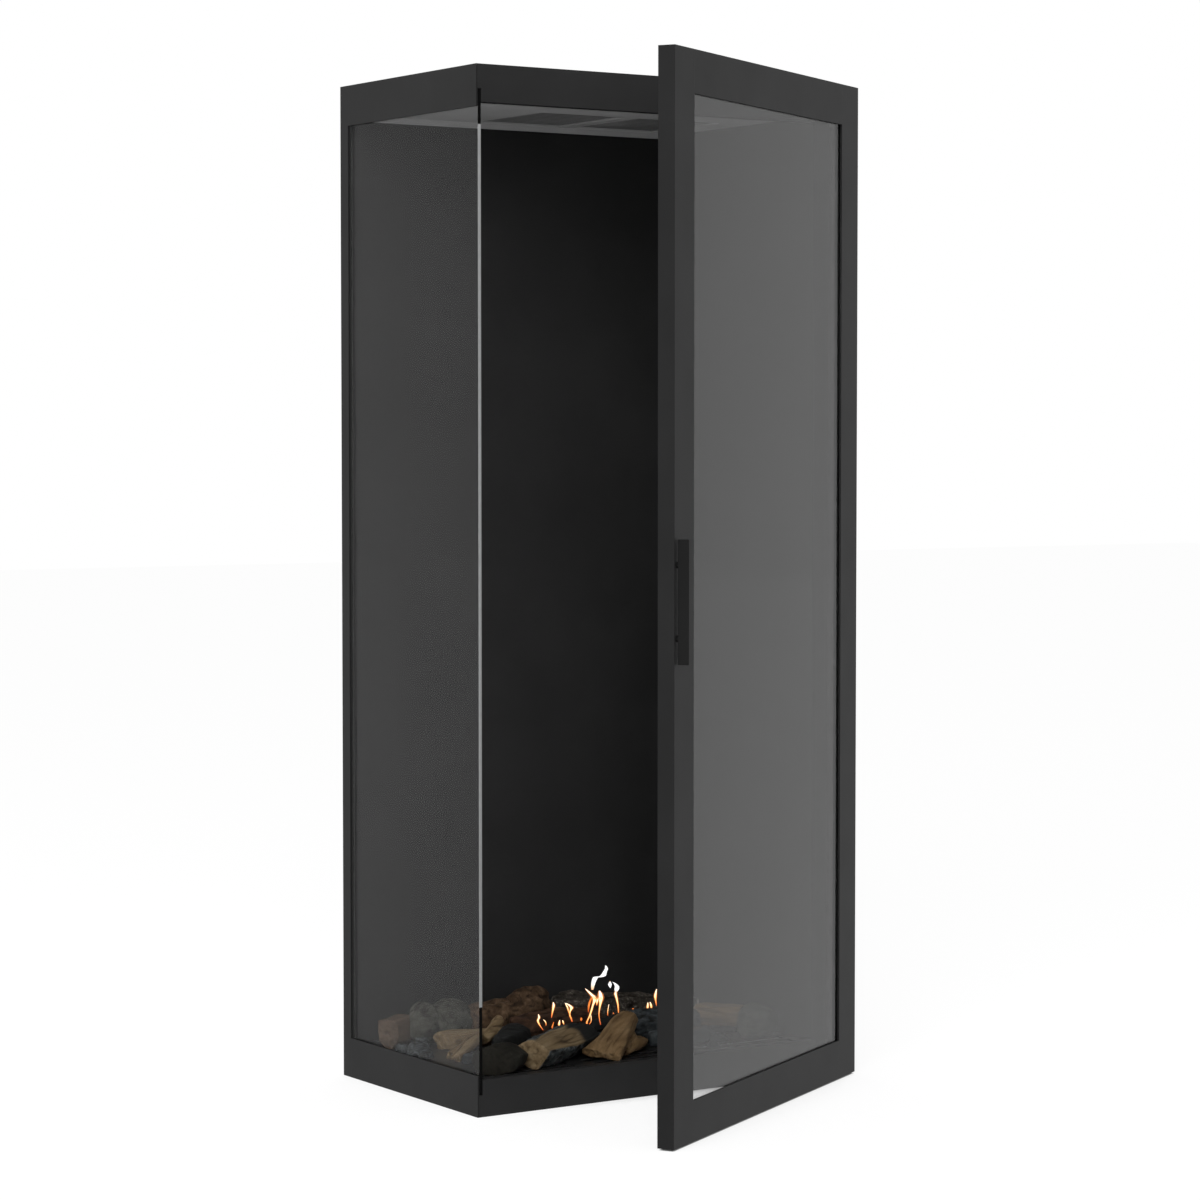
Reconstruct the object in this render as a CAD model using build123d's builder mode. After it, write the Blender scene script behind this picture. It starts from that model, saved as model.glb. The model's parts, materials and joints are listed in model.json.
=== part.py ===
from build123d import *
import os
from math import cos, pi, radians, sin

# Corner fireplace with a fixed glass pane on its left side and a glazed door on its front.
# X runs to the right along the front, Y into the depth, Z up. The origin is the centre of the underside.
# All lengths are in millimetres.

# Driving dimensions of the cabinet
width = 519
depth = 316
height = 1200
sheet = 2
fit_gap = 0.3
side_trim_height = 48
front_trim_height = 43
trim_return = 12
rear_post_width = 18
rear_post_depth = 18.4
right_post_width = 39
right_post_depth = 20
right_post_flange = 17
right_post_step = 8
tray_wall = 20
top_recess = 20
top_tray_wall = 18
deck_height = 40
deck_sheet = 1.5
ceiling_drop = 35
ceiling_lip = 7
back_clearance = 14
door_gap = 1

# Side window
side_glass_thickness = 4
side_glass_bottom = 25.5
side_glass_overlap = 7
side_seal_width = 3
seat_upstand = 14

# Door
door_angle = 30
door_thickness = 20
door_width = 516.5
door_floor_gap = 2
stile_width = 50
rail_height = 48
door_wall = 2
glass_recess = 2.4
rebate = 10
door_glass_thickness = 4
glass_edge_gap = 2
retainer_foot = 7
retainer_leg = 8
retainer_sheet = 1.5
screw_radius = 2
screw_head_radius = 4
retainer_head_radius = 3.5
retainer_head_height = 1.6
side_screw_count = 6
gasket_width = 8
gasket_thickness = 0.7
gasket_inset = 20
gasket_side_inset = 1.5
vent_radius = 3

# Door handle
handle_height = 136
handle_bottom = 532
handle_width = 8
handle_depth = 13.4
handle_standoff = 2.2
handle_edge_distance = 3.5
handle_screw_spacing = 80
handle_edge_radius = 0.6
spacer_radius = 3.5

# Hinges
barrel_radius = 5
barrel_length = 30
hinge_pin_radius = 3
hinge_pin_reach = 25
hinge_leaf = 16
hinge_leaf_thickness = 2
hinge_end_distance = 120
hinge_count = 3
notch_clearance = 0.3
running_clearance = 0.05
washer_thickness = 0.8
washer_gap = 0.1

# Catch magnets
magnet_distance = 20
magnet_length = 40

# Ceiling grilles and flue
grille_width = 120
grille_length = 150
grille_spacing = 20
grille_border = 5
grille_sheet = 1.5
grille_slot_width = 5
grille_slot_count = 10
grille_right_edge = 80
flue_inner_radius = 50
flue_outer_radius = 75
flue_wall = 1.5
flue_air_radius = 72
collector_height = 8
collar_recess = 1

# Burner and gas train
burner_length = 300
burner_width = 60
burner_depth = 18
burner_right_distance = 79
burner_rear_distance = 70
burner_port_radius = 2
burner_port_count = 22
burner_port_margin = 20
injector_radius = 7
injector_length = 16
pipe_radius = 4
gas_bore_radius = 2.5
inlet_radius = 8.33
inlet_length = 12
hex_radius = 11
hex_length = 8

# Pilot
pilot_distance = 16
pilot_radius = 5
pilot_height = 26
pilot_edge_radius = 2
pilot_port_width = 5
pilot_port_height = 6
probe_spacing = 14
probe_body_height = 19
electrode_body_radius = 3
electrode_radius = 1
thermocouple_body_radius = 2.5
thermocouple_radius = 1.5

# Shape of the logs and chips, as shares of their radius
log_corner_count = 9
log_section_count = 5
log_corner_shift = 0.2
log_unevenness = 0.10
log_roughness = 0.07
log_swell = 0.06
log_floor_share = 0.72
log_end_slant = 0.25
chip_top_share = 0.6

# Floor openings
floor_slot_width = 12
floor_slot_length = 130
floor_slot_rows = (31, 54)
floor_slot_columns = 3
fixing_hole_radius = 4.5
fixing_inset = 30
service_width = 73
service_length = 88
service_right_distance = 6
service_rear_distance = 56

# Faces that the dimensions above fix
left = -width / 2
right = width / 2
front = -depth / 2
back = depth / 2
trim_face = front + door_gap
trim_back = trim_face + sheet
rear_post_front = back - rear_post_depth
rear_post_right = left + rear_post_width
right_post_left = right - right_post_width
right_post_back = trim_face + right_post_depth
liner_front = back - back_clearance - sheet
liner_right = right_post_left + sheet
glass_left = left + sheet + fit_gap
glass_right = glass_left + side_glass_thickness
seat_left = glass_right + fit_gap
seat_right = seat_left + sheet
inner_left = seat_right + fit_gap
ceiling_height = height - ceiling_drop
ceiling_top = ceiling_height + sheet
side_glass_top = ceiling_height + side_glass_overlap
top_tray_floor = height - top_recess

os.makedirs("parts", exist_ok=True)


def block(spans_x, spans_y, spans_z, mode=Mode.ADD):
    """Box over three (low, high) spans."""
    with Locations((spans_x[0], spans_y[0], spans_z[0])):
        Box(
            spans_x[1] - spans_x[0],
            spans_y[1] - spans_y[0],
            spans_z[1] - spans_z[0],
            align=(Align.MIN, Align.MIN, Align.MIN),
            mode=mode,
        )


def save(part, label):
    """Label a finished piece and write it."""
    part.label = label
    export_step(part, f"parts/{label}.step")


# Cabinet trays: both follow the cabinet's plan, less the two posts

def tray(floor_height, wall_height):
    """Open tray inside the trims and round the posts, floor down."""
    with BuildPart(Plane.XY.offset(floor_height)) as body:
        block((left + sheet, right - sheet), (trim_back, back - sheet), (0, wall_height))
        block((left, rear_post_right), (rear_post_front, back), (0, wall_height), Mode.SUBTRACT)
        block((right_post_left, right), (front, right_post_back), (0, wall_height), Mode.SUBTRACT)
        rim = body.faces().filter_by(Axis.Z).sort_by(Axis.Z)[-1]
        offset(amount=-sheet, openings=rim)
    return body.part


# Service opening under the floor, at the right rear
service_x = (right - service_right_distance - service_width, right - service_right_distance)
service_y = (back - service_rear_distance - service_length, back - service_rear_distance)

with BuildPart() as base_tray:
    add(tray(0, tray_wall))
    block(service_x, service_y, (0, sheet), Mode.SUBTRACT)
    with GridLocations(width - 2 * fixing_inset, depth - 2 * fixing_inset, 2, 2):
        Cylinder(fixing_hole_radius, 3 * sheet, mode=Mode.SUBTRACT)

# Flue centre, over the middle of the two ceiling grilles
grille_x = right - grille_right_edge - grille_width - grille_spacing / 2
grille_y = liner_front - grille_length / 2 - grille_border
grille_pitch = grille_width + grille_spacing

with BuildPart() as top_tray:
    add(tray(top_tray_floor, top_tray_wall))
    with Locations((grille_x, grille_y, top_tray_floor)):
        Cylinder(flue_air_radius, 3 * sheet, mode=Mode.SUBTRACT)

# Trims

with BuildPart() as lower_left_trim:
    block((left, left + sheet), (trim_face, rear_post_front), (0, side_trim_height))

with BuildPart() as upper_left_trim:
    block((left, left + sheet), (trim_face, rear_post_front), (height - side_trim_height, height))

notch_x = (left + sheet, seat_left)

with BuildPart() as lower_front_trim:
    block((left + sheet, right_post_left), (trim_face, trim_back), (0, front_trim_height))
    block(
        (inner_left, right_post_left),
        (trim_back, trim_back + trim_return),
        (front_trim_height - sheet, front_trim_height),
    )
    block(notch_x, (trim_face, trim_back), (side_glass_bottom - fit_gap, front_trim_height), Mode.SUBTRACT)

with BuildPart() as upper_front_trim:
    upper_trim_bottom = height - front_trim_height
    block((left + sheet, right_post_left), (trim_face, trim_back), (upper_trim_bottom, height))
    block(
        (inner_left, right_post_left),
        (trim_back, trim_back + trim_return),
        (upper_trim_bottom, upper_trim_bottom + sheet),
    )
    block(notch_x, (trim_face, trim_back), (upper_trim_bottom, side_glass_top + fit_gap), Mode.SUBTRACT)

# Posts

with BuildPart() as rear_left_post:
    with BuildSketch():
        with Locations((left + rear_post_width / 2, back - rear_post_depth / 2)):
            Rectangle(rear_post_width, rear_post_depth)
        offset(amount=-sheet, mode=Mode.SUBTRACT)
    extrude(amount=height)

# Hinge axis: the corner where the closed door's inner face meets the cabinet's right side
hinge_step = (height - 2 * hinge_end_distance) / (hinge_count - 1)
hinge_heights = [hinge_end_distance + i * hinge_step for i in range(hinge_count)]
notch_height = 2 * barrel_length + washer_thickness + 2 * notch_clearance + 2 * fit_gap

with BuildPart() as front_right_post:
    with BuildSketch():
        with BuildLine():
            Polyline(
                (right_post_left, trim_face + right_post_step),
                (right - right_post_flange, trim_face + right_post_step),
                (right - right_post_flange, trim_face),
                (right, trim_face),
                (right, right_post_back),
                (right_post_left, right_post_back),
                close=True,
            )
        make_face()
        offset(amount=-sheet, kind=Kind.INTERSECTION, mode=Mode.SUBTRACT)
    extrude(amount=height)
    with Locations(*[(right, front, z) for z in hinge_heights]):
        Cylinder(barrel_radius + notch_clearance, notch_height, mode=Mode.SUBTRACT)

# Outer panels

with BuildPart() as back_panel:
    block((rear_post_right, right - sheet), (back - sheet, back), (0, height))

with BuildPart() as right_side_panel:
    block((right - sheet, right), (right_post_back, back), (0, height))
    block((right - sheet, right), service_y, (2 * sheet, deck_height + 2 * sheet), Mode.SUBTRACT)

# Firebox lining

with BuildPart() as back_liner:
    block((rear_post_right, liner_right), (liner_front, liner_front + sheet), (sheet, ceiling_height))
    block(
        (rear_post_right, rear_post_right + sheet),
        (liner_front, liner_front + sheet),
        (sheet, tray_wall),
        Mode.SUBTRACT,
    )

with BuildPart() as right_liner:
    block((right_post_left, liner_right), (right_post_back, liner_front), (deck_height, ceiling_height))

with BuildPart() as firebox_ceiling:
    block((inner_left, liner_right), (trim_back, liner_front + sheet), (ceiling_height, ceiling_top))
    block(
        (rear_post_right, right_post_left),
        (liner_front - sheet, liner_front),
        (ceiling_height - ceiling_lip, ceiling_height),
    )
    block(
        (inner_left, rear_post_right),
        (rear_post_front, liner_front + sheet),
        (ceiling_height, ceiling_top),
        Mode.SUBTRACT,
    )
    block(
        (right_post_left, liner_right),
        (trim_back, right_post_back),
        (ceiling_height, ceiling_top),
        Mode.SUBTRACT,
    )
    with Locations((grille_x, grille_y, ceiling_height + sheet / 2)):
        with GridLocations(grille_pitch, 1, 2, 1):
            Box(grille_width, grille_length, 2 * sheet, mode=Mode.SUBTRACT)

with BuildPart() as ceiling_grilles:
    grille_slot_pitch = grille_length / grille_slot_count
    with BuildSketch(Plane.XY.offset(ceiling_top)):
        with Locations((grille_x, grille_y)):
            with GridLocations(grille_pitch, 1, 2, 1):
                Rectangle(grille_width + 2 * grille_border, grille_length + 2 * grille_border)
            with GridLocations(grille_pitch, grille_slot_pitch, 2, grille_slot_count):
                Rectangle(grille_width - 2 * grille_border, grille_slot_width, mode=Mode.SUBTRACT)
    extrude(amount=grille_sheet)

# Burner deck: a folded sheet, open to the right, that stands on the base tray
deck_front = trim_back + trim_return - sheet
burner_x = right - burner_right_distance - burner_length / 2
burner_y = liner_front - burner_rear_distance

with BuildPart() as burner_deck:
    block((inner_left, liner_right), (deck_front, liner_front), (sheet, deck_height))
    block(
        (inner_left + deck_sheet, liner_right),
        (deck_front + deck_sheet, liner_front - deck_sheet),
        (sheet, deck_height - deck_sheet),
        Mode.SUBTRACT,
    )
    block(
        (inner_left, rear_post_right + sheet),
        (rear_post_front - sheet, liner_front),
        (sheet, deck_height),
        Mode.SUBTRACT,
    )
    block(
        (right_post_left - sheet - fit_gap, liner_right),
        (deck_front, right_post_back + sheet + fit_gap),
        (sheet, deck_height),
        Mode.SUBTRACT,
    )
    with Locations((burner_x, burner_y, deck_height)):
        Box(burner_length, burner_width, 4 * deck_sheet, mode=Mode.SUBTRACT)
    slot_pitch = (right_post_left - inner_left) / floor_slot_columns
    for row in floor_slot_rows:
        with Locations(((inner_left + right_post_left) / 2, front + row, deck_height)):
            with GridLocations(slot_pitch, 1, floor_slot_columns, 1):
                Box(floor_slot_length, floor_slot_width, 4 * deck_sheet, mode=Mode.SUBTRACT)

# Burner: a closed box with ports, its top level with the deck

with BuildPart() as burner_tray:
    with Locations((burner_x, burner_y, deck_height - burner_depth / 2)):
        Box(burner_length - 2 * fit_gap, burner_width - 2 * fit_gap, burner_depth)
        Box(
            burner_length - 2 * fit_gap - 2 * deck_sheet,
            burner_width - 2 * fit_gap - 2 * deck_sheet,
            burner_depth - 2 * deck_sheet,
            mode=Mode.SUBTRACT,
        )
    port_pitch = (burner_length - 2 * burner_port_margin) / burner_port_count
    with Locations((burner_x, burner_y, deck_height)):
        with GridLocations(port_pitch, burner_width / 4, burner_port_count, 3):
            Cylinder(burner_port_radius, 4 * deck_sheet, mode=Mode.SUBTRACT)

# Gas train: injector at the burner's right end, a straight pipe and the inlet fitting
pipe_height = deck_height - burner_depth / 2
burner_end = burner_x + burner_length / 2 - fit_gap
gas_axis = Plane(origin=(burner_end, burner_y, pipe_height), x_dir=(0, 1, 0), z_dir=(1, 0, 0))
inlet_end = right - 2 * sheet
inlet_start = inlet_end - inlet_length - hex_length
pipe_length = inlet_start - burner_end - injector_length

with BuildPart() as gas_injector:
    with BuildSketch(gas_axis):
        RegularPolygon(injector_radius, 6)
        Circle(gas_bore_radius, mode=Mode.SUBTRACT)
    extrude(amount=injector_length)

with BuildPart() as gas_supply_pipe:
    with BuildSketch(gas_axis.offset(injector_length)):
        Circle(pipe_radius)
        Circle(gas_bore_radius, mode=Mode.SUBTRACT)
    extrude(amount=pipe_length)

with BuildPart() as gas_inlet_fitting:
    with BuildSketch(gas_axis.offset(injector_length + pipe_length)):
        RegularPolygon(hex_radius, 6)
    extrude(amount=hex_length)
    with BuildSketch(gas_axis.offset(injector_length + pipe_length + hex_length)):
        Circle(inlet_radius)
    extrude(amount=inlet_length)
    with BuildSketch(gas_axis.offset(injector_length + pipe_length)):
        Circle(gas_bore_radius)
    extrude(amount=hex_length + inlet_length, mode=Mode.SUBTRACT)

# Pilot: a hooded burner between a spark electrode and a thermocouple, at the burner's right end
pilot_x = burner_x + burner_length / 2 + pilot_distance
standing = (Align.CENTER, Align.CENTER, Align.MIN)

with BuildPart() as pilot_burner:
    with Locations((pilot_x, burner_y, deck_height)):
        Cylinder(pilot_radius, pilot_height, align=standing)
    fillet(pilot_burner.edges().filter_by(GeomType.CIRCLE).sort_by(Axis.Z)[-1], pilot_edge_radius)
    with Locations((pilot_x - pilot_radius, burner_y, deck_height + pilot_height - pilot_port_height)):
        Box(2 * pilot_radius, pilot_port_width, pilot_port_height, mode=Mode.SUBTRACT)

with BuildPart() as spark_electrode:
    with Locations((pilot_x, burner_y - probe_spacing, deck_height)):
        Cylinder(electrode_body_radius, probe_body_height, align=standing)
        Cylinder(electrode_radius, pilot_height, align=standing)

with BuildPart() as thermocouple:
    with Locations((pilot_x, burner_y + probe_spacing, deck_height)):
        Cylinder(thermocouple_body_radius, probe_body_height, align=standing)
        Cylinder(thermocouple_radius, pilot_height, align=standing)

# Flue: a low collector over the grilles and two concentric collars
collector_x = grille_pitch + grille_width + 2 * grille_border + 2 * fit_gap
collector_y = grille_length + 2 * grille_border + 2 * fit_gap
collector_top = ceiling_top + collector_height
collar_top = height - collar_recess

with BuildPart() as flue_collector:
    with BuildSketch(Plane.XY.offset(ceiling_top)):
        with Locations((grille_x, grille_y)):
            Rectangle(collector_x + 2 * flue_wall, collector_y + 2 * flue_wall)
    extrude(amount=collector_height)
    with BuildSketch(Plane.XY.offset(ceiling_top)):
        with Locations((grille_x, grille_y)):
            Rectangle(collector_x, collector_y)
    extrude(amount=collector_height - flue_wall, mode=Mode.SUBTRACT)
    with Locations((grille_x, grille_y, collector_top)):
        Cylinder(flue_inner_radius, 4 * flue_wall, mode=Mode.SUBTRACT)


def collar(inner_radius, low, high):
    """Round socket for a flue pipe."""
    with BuildPart() as socket:
        with BuildSketch(Plane.XY.offset(low)):
            with Locations((grille_x, grille_y)):
                Circle(inner_radius + flue_wall)
                Circle(inner_radius, mode=Mode.SUBTRACT)
        extrude(amount=high - low)
    return socket.part


flue_inner_collar = collar(flue_inner_radius, collector_top, collar_top)
flue_outer_collar = collar(flue_outer_radius - flue_wall, top_tray_floor + sheet, collar_top)

# Side window

with BuildPart() as side_glass:
    block(
        (glass_left, glass_right),
        (trim_face, rear_post_front - side_seal_width),
        (side_glass_bottom, side_glass_top),
    )

with BuildPart() as side_glass_rear_seal:
    block(
        (glass_left, glass_right),
        (rear_post_front - side_seal_width, rear_post_front),
        (side_glass_bottom, side_glass_top),
    )

with BuildPart() as side_glass_lower_seat:
    seat_top = side_glass_bottom - fit_gap
    block((left + sheet, seat_right), (trim_back, rear_post_front), (tray_wall, seat_top))
    block((seat_left, seat_right), (trim_back, rear_post_front), (seat_top, seat_top + seat_upstand))

with BuildPart() as side_glass_upper_seat:
    seat_bottom = side_glass_top + fit_gap
    block((left + sheet, seat_right), (trim_back, rear_post_front), (seat_bottom, top_tray_floor))
    block((seat_left, seat_right), (trim_back, rear_post_front), (seat_bottom - seat_upstand, seat_bottom))

# Door: everything is drawn in the door's own plan, u from the hinge to the free edge, v outwards

door_plan = Plane(
    origin=(right, front, 0),
    x_dir=(-cos(radians(door_angle)), -sin(radians(door_angle)), 0),
    z_dir=(0, 0, 1),
)
opening_low = rail_height
opening_high = height - rail_height
free_inner = door_width - stile_width
lip_v = (door_thickness - glass_recess, door_thickness)
tube_v = (0, door_thickness - glass_recess)
tube_inner = stile_width - rebate

with BuildPart(door_plan) as door_stile_hinge:
    block((0, stile_width), (0, door_thickness), (door_floor_gap, height))
    block((tube_inner, stile_width), tube_v, (door_floor_gap, height), Mode.SUBTRACT)
    block(
        (door_wall, tube_inner - door_wall),
        (door_wall, door_thickness - door_wall),
        (door_floor_gap + door_wall, height - door_wall),
        Mode.SUBTRACT,
    )
    with Locations((tube_inner / 2, door_thickness / 2, door_floor_gap)):
        Cylinder(vent_radius, 3 * door_wall, mode=Mode.SUBTRACT)
    with Locations(*[(0, 0, z) for z in hinge_heights]):
        Cylinder(barrel_radius + notch_clearance, notch_height, mode=Mode.SUBTRACT)

# Handle positions on the free stile
handle_u = door_width - handle_edge_distance - handle_width / 2
handle_middle = handle_bottom + handle_height / 2
handle_screw_heights = (handle_middle - handle_screw_spacing / 2, handle_middle + handle_screw_spacing / 2)

with BuildPart(door_plan) as door_stile_free:
    block((free_inner, door_width), (0, door_thickness), (door_floor_gap, height))
    block((free_inner, free_inner + rebate), tube_v, (door_floor_gap, height), Mode.SUBTRACT)
    block(
        (free_inner + rebate + door_wall, door_width - door_wall),
        (door_wall, door_thickness - door_wall),
        (door_floor_gap + door_wall, height - door_wall),
        Mode.SUBTRACT,
    )
    with Locations((door_width - tube_inner / 2, door_thickness / 2, door_floor_gap)):
        Cylinder(vent_radius, 3 * door_wall, mode=Mode.SUBTRACT)
    with Locations(*[Location((handle_u, 0, z), (-90, 0, 0)) for z in handle_screw_heights]):
        Cylinder(
            screw_radius + fit_gap,
            door_thickness,
            align=standing,
            mode=Mode.SUBTRACT,
        )
        Cone(
            screw_head_radius + fit_gap,
            screw_radius + fit_gap,
            door_wall,
            align=standing,
            mode=Mode.SUBTRACT,
        )


def rail(tube_z, lip_z):
    """Door rail between the stiles: a tube with a lip in front of the glass."""
    with BuildPart(door_plan) as body:
        block((tube_inner, free_inner + rebate), tube_v, tube_z)
        block((stile_width, free_inner), (tube_v[1], door_thickness), tube_z)
        block((stile_width, free_inner), lip_v, lip_z)
        block(
            (tube_inner, free_inner + rebate),
            (door_wall, tube_v[1] - door_wall),
            (tube_z[0] + door_wall, tube_z[1] - door_wall),
            Mode.SUBTRACT,
        )
    return body.part


door_rail_bottom = rail((door_floor_gap, rail_height - rebate), (rail_height - rebate, rail_height))
door_rail_top = rail((opening_high + rebate, height), (opening_high, opening_high + rebate))

# Door glass, in the rebate behind the lips
pane_u = (tube_inner + glass_edge_gap, free_inner + rebate - glass_edge_gap)
pane_z = (rail_height - rebate + glass_edge_gap, opening_high + rebate - glass_edge_gap)
pane_v = (tube_v[1] - fit_gap - door_glass_thickness, tube_v[1] - fit_gap)

with BuildPart(door_plan) as door_glass:
    block(pane_u, pane_v, pane_z)


def grown(span, by):
    """Span widened by the same amount at both ends."""
    return (span[0] - by, span[1] + by)


def ring(span_u, span_v, span_z, section):
    """Rectangular frame whose bars are as wide as its section, inside the given outline."""
    block(span_u, span_v, span_z)
    block(grown(span_u, -section), span_v, grown(span_z, -section), Mode.SUBTRACT)


seal_width = glass_edge_gap - fit_gap

with BuildPart(door_plan) as door_glass_seal:
    ring(grown(pane_u, seal_width), pane_v, grown(pane_z, seal_width), seal_width)

# Retainer: an angle frame that holds the pane from the inside, screwed to the tubes
retainer_u = grown(pane_u, glass_edge_gap - fit_gap)
retainer_z = grown(pane_z, glass_edge_gap - fit_gap)
retainer_face = pane_v[0] - fit_gap
foot_v = (retainer_face - retainer_sheet, retainer_face)
leg_v = (retainer_face - retainer_sheet - retainer_leg, retainer_face - retainer_sheet)
leg_middle = (leg_v[0] + leg_v[1]) / 2
side_screw_pitch = (retainer_z[1] - retainer_z[0]) / side_screw_count
side_screw_heights = [retainer_z[0] + side_screw_pitch * (i + 0.5) for i in range(side_screw_count)]
screw_places = [
    Location((u, leg_middle, z), (0, turn, 0))
    for u, turn in ((retainer_u[0], 90), (retainer_u[1], -90))
    for z in side_screw_heights
]

with BuildPart(door_plan) as door_glass_retainer:
    ring(retainer_u, foot_v, retainer_z, retainer_foot)
    ring(retainer_u, leg_v, retainer_z, retainer_sheet)
    with Locations(*screw_places):
        Cylinder(screw_radius, 4 * retainer_sheet, mode=Mode.SUBTRACT)

with BuildPart(door_plan) as retainer_screws:
    with Locations(*screw_places):
        Cylinder(screw_radius, retainer_sheet, align=standing)
        with Locations((0, 0, retainer_sheet)):
            Cylinder(retainer_head_radius, retainer_head_height, align=standing)

# Gasket tape on the door's inner face, opposite the trims, the right post and the side glass
with BuildPart(door_plan) as door_gasket:
    ring(
        (barrel_radius + gasket_side_inset, door_width - gasket_side_inset),
        (-gasket_thickness, 0),
        (gasket_inset, height - gasket_inset),
        gasket_width,
    )

# Handle: a flat bar on two spacers, with screws through the stile
handle_back = door_thickness + handle_standoff

with BuildPart(door_plan) as door_handle:
    block(
        (handle_u - handle_width / 2, handle_u + handle_width / 2),
        (handle_back, handle_back + handle_depth),
        (handle_bottom, handle_bottom + handle_height),
    )
    fillet(door_handle.edges(), handle_edge_radius)
    with Locations(*[Location((handle_u, handle_back, z), (-90, 0, 0)) for z in handle_screw_heights]):
        Cylinder(
            screw_radius,
            handle_depth - sheet,
            align=standing,
            mode=Mode.SUBTRACT,
        )

with BuildPart(door_plan) as handle_spacers:
    with Locations(*[Location((handle_u, door_thickness, z), (-90, 0, 0)) for z in handle_screw_heights]):
        Cylinder(spacer_radius, handle_standoff, align=standing)
        Cylinder(
            screw_radius + fit_gap,
            handle_standoff,
            align=standing,
            mode=Mode.SUBTRACT,
        )

with BuildPart(door_plan) as handle_screws:
    handle_screw_length = handle_back + handle_depth - 2 * sheet
    with Locations(*[Location((handle_u, 0, z), (-90, 0, 0)) for z in handle_screw_heights]):
        Cylinder(screw_radius, handle_screw_length, align=standing)
        Cone(screw_head_radius, screw_radius, door_wall, align=standing)

# Hinges: barrels on the axis, each with a leaf on the outer side of the stile or the post
barrel_low = washer_thickness / 2 + washer_gap
hinge_bore_depth = hinge_pin_reach - barrel_low + fit_gap

with BuildPart(door_plan) as hinge_door_leaves:
    for z in hinge_heights:
        with Locations((0, 0, z + barrel_low)):
            Cylinder(barrel_radius, barrel_length, align=standing)
        block(
            (-hinge_leaf_thickness, 0),
            (0, hinge_leaf),
            (z + barrel_low, z + barrel_low + barrel_length),
        )
        with Locations((0, 0, z + barrel_low)):
            Cylinder(
                hinge_pin_radius + running_clearance,
                hinge_bore_depth,
                align=standing,
                mode=Mode.SUBTRACT,
            )

with BuildPart(Plane(origin=(right, front, 0))) as hinge_cabinet_leaves:
    for z in hinge_heights:
        with Locations((0, 0, z - barrel_low - barrel_length)):
            Cylinder(barrel_radius, barrel_length, align=standing)
        block(
            (0, hinge_leaf_thickness),
            (0, hinge_leaf),
            (z - barrel_low - barrel_length, z - barrel_low),
        )
        with Locations((0, 0, z - barrel_low)):
            Cylinder(
                hinge_pin_radius,
                hinge_bore_depth,
                align=(Align.CENTER, Align.CENTER, Align.MAX),
                mode=Mode.SUBTRACT,
            )

with BuildPart(Plane(origin=(right, front, 0))) as hinge_pins:
    for z in hinge_heights:
        with Locations((0, 0, z)):
            Cylinder(hinge_pin_radius, 2 * hinge_pin_reach)
            Cylinder(barrel_radius, washer_thickness)

# Catch magnets behind the front trims, at the free end of the door
magnet_x = (left + magnet_distance, left + magnet_distance + magnet_length)
magnet_y = (trim_back, deck_front - fit_gap)

with BuildPart() as catch_magnets:
    block(magnet_x, magnet_y, (tray_wall + sheet, deck_height - sheet))
    block(magnet_x, magnet_y, (ceiling_top, top_tray_floor - fit_gap))

# Ceramic logs: uneven cross-sections with flat split sides, joined along the log


def log_section(radii, seed, along, flats):
    """Corner points of one cross-section, at the share along of the log's length."""
    points = []
    for i in range(log_corner_count):
        angle = 2 * pi * (i + log_corner_shift * sin(3 * i + seed)) / log_corner_count
        bulge = log_unevenness * sin(2 * angle + seed + 2 * along)
        reach = 1 + bulge + log_roughness * sin(5 * angle + 3 * seed - 4 * along)
        for flat_angle, flat_share in flats:
            facing = cos(angle - radians(flat_angle))
            if facing > 0:
                reach = min(reach, flat_share / facing)
        points.append((radii[0] * reach * cos(angle), radii[1] * reach * sin(angle)))
    return points


def outline(plane, points):
    """Closed polygon on a plane."""
    with BuildSketch(plane) as drawn:
        with BuildLine():
            Polyline(*points, close=True)
        make_face()
    return drawn.sketch


def log(place, size, turn, seed, flats=(), tilt=0, taper=0.25, growth=0, rises=None, seats=()):
    """Log of size (length, width, height) that rests at place, turned about the vertical.

    The far end is tilted up, growth makes it the thicker one, rises are shares of the height from end to
    end, and seats are logs that it rests against.
    """
    length, breadth, rise = size
    lift = log_floor_share * rise / 2 * cos(radians(tilt)) + length / 2 * abs(sin(radians(tilt)))
    middle = Vector(place[0] + left, place[1] + front, place[2] + lift)
    way = Vector(
        cos(radians(turn)) * cos(radians(tilt)),
        sin(radians(turn)) * cos(radians(tilt)),
        sin(radians(tilt)),
    )
    side = Vector(-sin(radians(turn)), cos(radians(turn)), 0)
    end_slants = {0: log_end_slant * sin(seed), log_section_count - 1: log_end_slant * cos(seed)}
    outlines = []
    for i in range(log_section_count):
        along = i / (log_section_count - 1)
        unevenness = log_swell * sin(4 * along + 2 * seed)
        swell = 1 - taper * (2 * along - 1) ** 2 + unevenness + growth * (along - 1)
        slant = end_slants.get(i, 0)
        plane = Plane(
            origin=middle + way * (length * (along - 0.5)),
            x_dir=side - way * slant,
            z_dir=way + side * slant,
        )
        rise_share = rises[i] if rises else swell
        radii = (breadth / 2 * swell, rise / 2 * rise_share)
        floor_flat = (-90, log_floor_share / rise_share)
        outlines.append(outline(plane, log_section(radii, seed, along, [*flats, floor_flat])))
    with BuildPart() as body:
        for near, far in zip(outlines, outlines[1:]):
            loft(sections=[near, far], ruled=True)
        block((left, right), (front, back), (0, deck_height), Mode.SUBTRACT)
        for seat in seats:
            add(seat, mode=Mode.SUBTRACT)
    return body.part


def casting(*forms):
    """Several forms in one part: they fuse where they touch."""
    with BuildPart() as body:
        for form in forms:
            add(form)
    return body.part


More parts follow.
